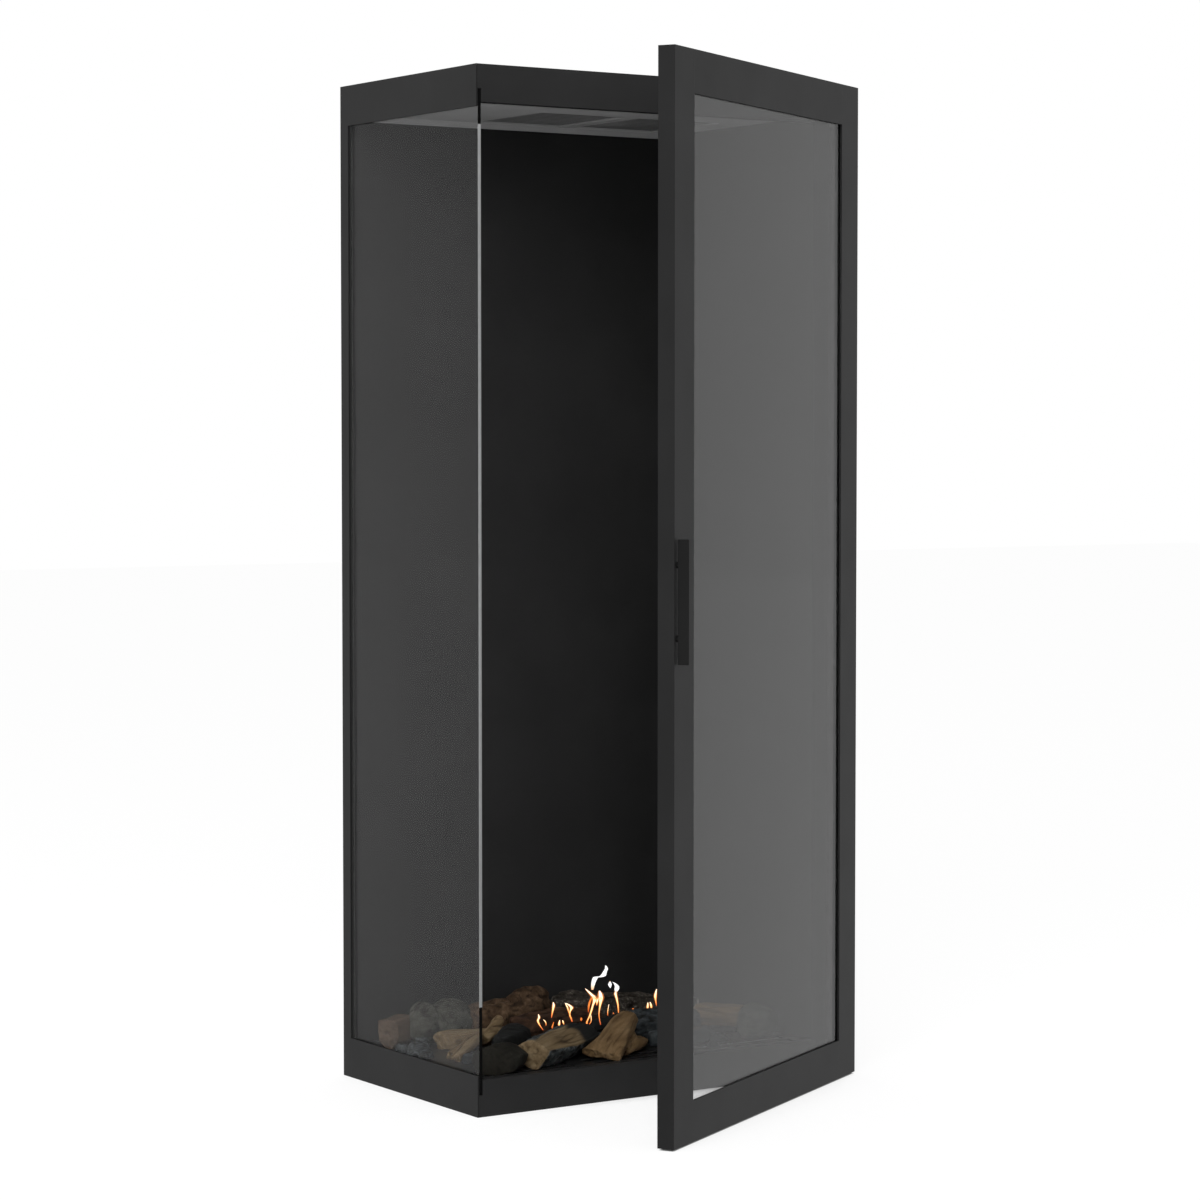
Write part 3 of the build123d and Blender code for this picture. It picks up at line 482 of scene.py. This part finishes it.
def evaluated_copy(source, name, voxel, rounds, joins):
    """Even fine mesh of a CAD solid, with its polygon edges eased and its hollows filled by balls."""
    piece = bpy.data.objects.new(name, source.data.copy())
    bpy.context.scene.collection.objects.link(piece)
    form = bmesh.new()
    form.from_mesh(piece.data)
    for x, y, z, radius in joins:
        ball = bmesh.ops.create_icosphere(form, subdivisions=3, radius=radius / 1000)
        bmesh.ops.translate(form, vec=from_corner(x, y, z), verts=ball["verts"])
    form.to_mesh(piece.data)
    form.free()
    even = piece.modifiers.new("even", "REMESH")
    even.mode = "VOXEL"
    even.voxel_size = voxel
    ease = piece.modifiers.new("ease", "SMOOTH")
    ease.factor = 0.5
    ease.iterations = rounds
    graph = bpy.context.evaluated_depsgraph_get()
    mesh = bpy.data.meshes.new_from_object(piece.evaluated_get(graph))
    piece.modifiers.clear()
    piece.data = mesh
    mesh.name = name
    return piece


# How squarely wood has to face along the grain to be a broken end, share of what stands past a cut face
# that is taken off, and how far the edges of cut faces and of burnt parts wander, in metres
END_FACING = 0.775
CUT_SHARE = 0.92
CUT_RAGGED = 0.0022
BURN_RAGGED = 0.008


def burnt_share(place, burn, ragged):
    """1 beyond a burnt end's upright plane, with a ragged soft edge."""
    if not burn:
        return 0.0
    x, y, turn = burn
    way = math.radians(turn)
    distance = (place.x - LEFT - x / 1000) * math.cos(way) + (place.y - FRONT - y / 1000) * math.sin(way)
    return step_between(distance + BURN_RAGGED * ragged, -0.006, 0.008)


def dress_log(name, turn, skin=sooty_face, colours=DARK_OLIVE, tilt=0, patches=60, bare=False, wood=TAN,
              cuts=(), burn=None, joins=(), voxel=0.0013, rounds=7):
    """Fine mesh over a log's solid, with its cut faces, bark, grain and burnt part."""
    angle, rise = math.radians(turn), math.radians(tilt)
    along = Vector((math.cos(angle) * math.cos(rise), math.sin(angle) * math.cos(rise), math.sin(rise)))
    across = Vector((-math.sin(angle), math.cos(angle), 0))
    up = along.cross(across)
    piece = evaluated_copy(nodes[name], name + "_form", voxel, rounds, joins)
    mesh = piece.data
    planes = []
    for x, y, z, kept in cuts:
        way = (along * x + across * y + up * z).normalized()
        reaches = [vertex.co.dot(way) for vertex in mesh.vertices]
        middle = (min(reaches) + max(reaches)) / 2
        planes.append((way, middle + kept * (max(reaches) - middle)))
    # Every log takes its grain from a place of its own in the noise
    shift = Vector((0.013 * len(name), 0.11 * ord(name[-1]), 0.07 * ord(name[5])))
    values = {"split": [], "groove_shade": [], "burnt": []}
    moved = []
    for vertex in mesh.vertices:
        place = vertex.co + shift
        a, b, c = place.dot(along), place.dot(across), place.dot(up)
        ragged = grain(a, b, c, 60, 90)
        split = 1.0 if bare else 0.0
        target = vertex.co.copy()
        for way, limit in planes:
            past = target.dot(way) - limit
            split = max(split, step_between(past + CUT_RAGGED * ragged, -0.0005, 0.0007))
            if past > 0:
                target -= way * past * CUT_SHARE
        wood_face = end_face if abs(vertex.normal.dot(along)) > END_FACING else split_face
        wood_height, wood_groove_shade = wood_face(a, b, c)
        skin_height, skin_groove_shade = skin(a, b, c)
        values["split"].append(split)
        # Share of painted shade in grooves, from the skin's pattern or the wood's where it is split
        values["groove_shade"].append(skin_groove_shade + (wood_groove_shade - skin_groove_shade) * split)
        values["burnt"].append(burnt_share(vertex.co, burn, ragged))
        target += vertex.normal * (skin_height + (wood_height - skin_height) * split)
        target.z = max(target.z, DECK)
        moved.append(target)
    for vertex, target in zip(mesh.vertices, moved):
        vertex.co = target
    for label, shares in values.items():
        mesh.attributes.new(label, "FLOAT", "POINT").data.foreach_set("value", shares)
    mesh.shade_smooth()
    mesh.materials.clear()
    mesh.materials.append(log_material(name + "_ceramic", colours, wood, turn, patches))
    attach(piece, "cabinet")
    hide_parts(name)


for log_name, look in LOGS.items():
    dress_log(log_name, **look)


# Flames: each is a list of (x, depth, height, radius) in millimetres from the cabinet's left front corner

WARM_FLAMES = [
    [(215.0, 200, 51.4, 0.4), (211.6, 200, 55.6, 0.6), (208.5, 200, 60.3, 1.1),
     (207.3, 200, 64.1, 1.3), (209.0, 200, 67.6, 1.4), (208.0, 200, 71.6, 0.4)],
    [(218.9, 200, 56.5, 0.4), (219.0, 200, 59.3, 0.5), (217.4, 200, 62.4, 0.9),
     (215.4, 200, 64.2, 0.4)],
    [(227.0, 200, 65.5, 0.4), (228.1, 200, 70.9, 0.9), (229.3, 200, 75.7, 1.3),
     (230.2, 200, 80.5, 1.7), (229.6, 200, 84.5, 0.5)],
    [(238.3, 200, 52.5, 0.5), (238.2, 200, 56.5, 1.5), (238.9, 200, 61.3, 0.5)],
    [(245.3, 200, 54.6, 0.4), (244.1, 200, 58.3, 1.0), (243.3, 200, 60.9, 0.4)],
    [(257.3, 200, 57.7, 0.6), (255.8, 200, 61.9, 1.1), (253.8, 200, 66.6, 1.0),
     (254.3, 200, 70.9, 1.1), (256.4, 200, 75.0, 2.3), (253.2, 200, 78.6, 1.8),
     (248.4, 200, 81.5, 0.8)],
    [(253.5, 200, 66.6, 0.4), (252.0, 200, 70.5, 0.6), (251.1, 200, 74.2, 0.9),
     (249.4, 200, 78.1, 1.0), (247.0, 200, 82.0, 0.4)],
    [(275.3, 184, 51.8, 0.8), (271.7, 184, 51.2, 1.5), (268.8, 184, 54.4, 1.5),
     (268.5, 184, 58.3, 1.1), (270.3, 184, 61.8, 1.0), (272.9, 184, 66.5, 1.1),
     (275.3, 184, 72.4, 1.3), (277.3, 184, 78.4, 1.3), (279.7, 184, 83.7, 2.3),
     (279.1, 184, 88.3, 3.1), (274.7, 184, 92.7, 2.2), (269.7, 184, 97.2, 1.4),
     (266.2, 184, 100.2, 0.4)],
    [(272.3, 184, 55.5, 0.5), (274.7, 184, 59.0, 0.5), (274.7, 184, 63.9, 0.6),
     (274.1, 184, 67.6, 0.5)],
    [(288.8, 184, 53.3, 0.4), (287.3, 184, 59.6, 0.5), (286.4, 184, 66.4, 0.6),
     (287.3, 184, 73.7, 1.0), (288.5, 184, 79.8, 1.7), (289.1, 184, 85.9, 3.2),
     (288.5, 184, 91.4, 2.8), (287.0, 184, 95.6, 0.8)],
    [(277.0, 184, 90.4, 1.3), (280.8, 184, 86.6, 3.3), (285.5, 184, 85.4, 3.3),
     (288.8, 184, 88.3, 1.3)],
    [(282.9, 184, 77.8, 0.4), (283.5, 184, 81.5, 1.1), (284.1, 184, 85.1, 1.8)],
    [(347.3, 232, 52.7, 0.4), (347.2, 232, 58.7, 0.8), (346.4, 232, 66.3, 1.0),
     (344.6, 232, 74.0, 1.4), (342.8, 232, 80.4, 1.8), (344.0, 232, 84.0, 1.1)],
    [(331.1, 232, 53.8, 0.4), (331.3, 232, 60.2, 0.5), (332.8, 232, 67.6, 0.4)],
    [(386.1, 225, 56.4, 0.5), (386.9, 225, 60.8, 1.5), (387.2, 225, 66.2, 0.5)],
    [(392.5, 225, 56.7, 0.5), (392.2, 225, 61.5, 1.5), (390.6, 225, 66.4, 0.5)],
    [(400.4, 225, 60.7, 0.4), (399.0, 225, 68.4, 1.1), (398.6, 225, 74.4, 1.8),
     (400.4, 225, 81.9, 0.5)],
]
EMBERS = [
    [(228.7, 200, 51.0, 0.4), (228.1, 200, 54.0, 1.0), (229.3, 200, 57.3, 0.7),
     (230.2, 200, 59.9, 0.4)],
    [(270.7, 200, 57.3, 0.4), (270.7, 200, 59.5, 1.4), (270.7, 200, 61.7, 0.4)],
    [(269.9, 183, 70.6, 0.4), (270.5, 183, 76.7, 1.2), (272.0, 183, 82.7, 1.4),
     (274.9, 183, 88.5, 1.2)],
    [(340.3, 232, 49.4, 0.4), (340.4, 232, 53.4, 1.2), (339.5, 232, 57.0, 0.4)],
    [(369.3, 232, 56.1, 0.6), (369.3, 232, 57.9, 1.3), (369.3, 232, 59.6, 0.6)],
    [(388.8, 220, 52.8, 0.6), (388.8, 220, 54.0, 1.0), (388.8, 220, 55.3, 0.6)],
]
WHITE_FLAMES = [
    [(276.7, 184, 98.0, 1.3), (277.3, 184, 102.9, 2.3), (279.1, 184, 108.9, 3.1),
     (282.0, 184, 113.0, 3.8), (288.2, 184, 113.0, 4.6), (292.6, 184, 114.3, 3.8),
     (295.0, 184, 118.3, 2.7), (297.3, 184, 122.0, 2.2), (296.7, 184, 125.0, 1.3),
     (296.1, 184, 126.5, 0.4)],
    [(302.8, 184, 106.3, 0.4), (302.6, 184, 102.1, 2.4), (303.2, 184, 97.8, 0.4)],
    [(343.4, 232, 82.1, 1.1), (344.6, 232, 85.8, 3.1), (344.9, 232, 89.6, 2.8),
     (341.6, 232, 93.5, 1.5), (338.6, 232, 95.5, 0.4)],
]
FLAME_SIDES = 12
FLAME_RINGS = 6
FLAME_DEPTH = 0.7
THINNEST = 0.3


def between(points, place):
    """Point on a smooth line through the points, which are (x, y, z, radius)."""
    i = min(int(place), len(points) - 2)
    share = place - i
    p0, p1, p2, p3 = (np.array(points[min(max(k, 0), len(points) - 1)], float) for k in range(i - 1, i + 3))
    return 0.5 * (
        2 * p1 + (p2 - p0) * share + (2 * p0 - 5 * p1 + 4 * p2 - p3) * share ** 2
        + (3 * p1 - p0 - 3 * p2 + p3) * share ** 3
    )


def flame_mesh(name, flames, swell, material):
    """Flames as closed tapered tongues, in one mesh with the share of their height as an attribute."""
    vertices, faces, heights = [], [], []
    for points in flames:
        start = len(vertices)
        count = FLAME_RINGS * (len(points) - 1) + 1
        for ring in range(count):
            x, y, z, radius = between(points, ring / FLAME_RINGS)
            radius = max(radius, THINNEST) * swell
            for side in range(FLAME_SIDES):
                turn = 2 * math.pi * side / FLAME_SIDES
                across, deep = radius * math.cos(turn), FLAME_DEPTH * radius * math.sin(turn)
                vertices.append(from_corner(x + across, y + deep, z))
                heights.append(ring / (count - 1))
        for ring in range(count - 1):
            for side in range(FLAME_SIDES):
                a = start + ring * FLAME_SIDES + side
                b = start + ring * FLAME_SIDES + (side + 1) % FLAME_SIDES
                faces.append((a, b, b + FLAME_SIDES, a + FLAME_SIDES))
        faces.append(tuple(start + side for side in reversed(range(FLAME_SIDES))))
        last = start + (count - 1) * FLAME_SIDES
        faces.append(tuple(last + side for side in range(FLAME_SIDES)))
    mesh = bpy.data.meshes.new(name)
    mesh.from_pydata(vertices, [], faces)
    mesh.attributes.new("height", "FLOAT", "POINT").data.foreach_set("value", heights)
    mesh.shade_smooth()
    mesh.materials.append(material)
    piece = bpy.data.objects.new(name, mesh)
    bpy.context.scene.collection.objects.link(piece)
    piece.visible_diffuse = False
    piece.visible_glossy = False
    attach(piece, "cabinet")


def flame_material(name, stops, strength, clear):
    """Glow whose colour runs up the flame, over a share of what is behind it."""
    material, tree, output = new_material(name)
    material.cycles.emission_sampling = "NONE"
    height = add_node(tree, "ShaderNodeAttribute", attribute_name="height")
    glow = add_node(tree, "ShaderNodeEmission", Strength=strength)
    tree.links.new(ramp(tree, height.outputs["Fac"], stops), glow.inputs["Color"])
    if clear:
        through = tree.nodes.new("ShaderNodeBsdfTransparent")
        mixed = add_node(tree, "ShaderNodeMixShader", Fac=1 - clear)
        tree.links.new(through.outputs["BSDF"], mixed.inputs[1])
        tree.links.new(glow.outputs["Emission"], mixed.inputs[2])
        tree.links.new(mixed.outputs["Shader"], output.inputs["Surface"])
    else:
        tree.links.new(glow.outputs["Emission"], output.inputs["Surface"])
    return material


CORE_GLOW = [
    (0.0, (0.6, 0.08, 0.02)), (0.25, (0.95, 0.36, 0.09)), (0.5, (1.0, 0.68, 0.28)),
    (0.75, (1.0, 0.86, 0.52)), (1.0, (1.0, 0.94, 0.78)),
]
RIM_GLOW = [(0.0, (0.42, 0.045, 0.012)), (0.4, (0.82, 0.16, 0.03)), (1.0, (0.95, 0.34, 0.08))]
EMBER_GLOW = [(0.0, (0.6, 0.06, 0.01)), (0.5, (1.0, 0.30, 0.06)), (1.0, (0.9, 0.2, 0.03))]
WHITE_GLOW = [
    (0.0, (1.0, 0.5, 0.16)), (0.14, (1.0, 0.95, 0.85)), (0.2, (1.0, 1.0, 1.0)), (1.0, (1.0, 1.0, 1.0)),
]

flame_mesh("flame_cores", WARM_FLAMES, 0.75, flame_material("flame_core", CORE_GLOW, 2.8, 0))
flame_mesh("flame_rims", WARM_FLAMES, 1.4, flame_material("flame_rim", RIM_GLOW, 0.9, 0.6))
flame_mesh("embers", EMBERS, 1.0, flame_material("ember", EMBER_GLOW, 1.1, 0.25))
flame_mesh("flame_tips", WHITE_FLAMES, 1.0, flame_material("flame_tip", WHITE_GLOW, 1.2, 0))


# Floor, surroundings and light

def seen_directly(tree):
    """1 for rays that show the surroundings to the camera, also in gloss or through glass."""
    path = tree.nodes.new("ShaderNodeLightPath")
    total = path.outputs["Is Camera Ray"]
    for name in ("Is Glossy Ray", "Is Transmission Ray"):
        both = add_node(tree, "ShaderNodeMath", operation="MAXIMUM")
        tree.links.new(total, both.inputs[0])
        tree.links.new(path.outputs[name], both.inputs[1])
        total = both.outputs["Value"]
    return total


def floor_material():
    """Pale matt floor: white in the open, with the object's shadow, and dark under cover through painted
    shade.
    """
    material, tree, output = new_material("pale_floor")
    matt = principled(tree, output, **{"Base Color": (0.8, 0.8, 0.8, 1), "Roughness": 0.9})
    dull = {"Base Color": (1, 1, 1, 1), "Roughness": 1.0, "Specular IOR Level": 0.0}
    pale = principled(tree, output, **dull)
    white = add_node(tree, "ShaderNodeEmission", Strength=1.03)
    # The glow dims with ambient occlusion: painted shade near the object and under cover
    open_share = add_node(tree, "ShaderNodeAmbientOcclusion", samples=8, Distance=0.25)
    painted_cover_shade = [(0.1, (0.02, 0.02, 0.02)), (0.45, (0.96, 0.96, 0.96)), (0.6, (1, 1, 1))]
    tree.links.new(ramp(tree, open_share.outputs["AO"], painted_cover_shade), white.inputs["Color"])
    seen = tree.nodes.new("ShaderNodeMixShader")
    path = tree.nodes.new("ShaderNodeLightPath")
    tree.links.new(spread(tree, path.outputs["Is Camera Ray"], 1.0, 0.82), seen.inputs["Fac"])
    tree.links.new(pale.outputs["BSDF"], seen.inputs[1])
    tree.links.new(white.outputs["Emission"], seen.inputs[2])
    chosen = tree.nodes.new("ShaderNodeMixShader")
    tree.links.new(seen_directly(tree), chosen.inputs["Fac"])
    tree.links.new(matt.outputs["BSDF"], chosen.inputs[1])
    tree.links.new(seen.outputs["Shader"], chosen.inputs[2])
    tree.links.new(chosen.outputs["Shader"], output.inputs["Surface"])
    return material


def add_floor(reach):
    mesh = bpy.data.meshes.new("floor")
    corners = [(-reach, -reach, 0), (reach, -reach, 0), (reach, reach, 0), (-reach, reach, 0)]
    mesh.from_pydata(corners, [], [(0, 1, 2, 3)])
    mesh.materials.append(floor_material())
    floor = bpy.data.objects.new("floor", mesh)
    bpy.context.scene.collection.objects.link(floor)


def add_surroundings(ambient_strength, visible_strength):
    """White all round: one strength for the light it gives, one for how bright it is seen."""
    world = bpy.data.worlds.new("white_surroundings")
    bpy.context.scene.world = world
    world.use_nodes = True
    tree = world.node_tree
    tree.nodes.clear()
    output = tree.nodes.new("ShaderNodeOutputWorld")
    ambient = add_node(tree, "ShaderNodeBackground", Color=(1, 1, 1, 1), Strength=ambient_strength)
    visible = add_node(tree, "ShaderNodeBackground", Color=(1, 1, 1, 1), Strength=visible_strength)
    chosen = tree.nodes.new("ShaderNodeMixShader")
    tree.links.new(seen_directly(tree), chosen.inputs["Fac"])
    tree.links.new(ambient.outputs["Background"], chosen.inputs[1])
    tree.links.new(visible.outputs["Background"], chosen.inputs[2])
    tree.links.new(chosen.outputs["Shader"], output.inputs["Surface"])


def add_area_light(name, place, target, size, power):
    lamp = bpy.data.lights.new(name, "AREA")
    lamp.size = size
    lamp.energy = power
    holder = bpy.data.objects.new(name, lamp)
    bpy.context.scene.collection.objects.link(holder)
    holder.location = place
    holder.rotation_euler = (Vector(target) - Vector(place)).to_track_quat("-Z", "Y").to_euler()
    holder.visible_glossy = False


def add_camera(place, down, heading, lens):
    """Camera at a place, turned down from level and about the vertical by angles in degrees."""
    optics = bpy.data.cameras.new("camera")
    optics.sensor_width = 36
    optics.lens = lens
    camera = bpy.data.objects.new("camera", optics)
    bpy.context.scene.collection.objects.link(camera)
    camera.location = place
    camera.rotation_euler = (math.radians(90 - down), 0, math.radians(heading))
    bpy.context.scene.camera = camera


add_floor(reach=15)
add_surroundings(ambient_strength=0.75, visible_strength=1.0)
add_area_light("key", place=(-2.8, -3.0, 2.6), target=(0, 0, 0.5), size=2.4, power=130)
add_camera(place=(-2.26972, -3.46485, 0.77982), down=2.755, heading=-33.358, lens=102.219)
bpy.context.scene.view_settings.view_transform = "Standard"
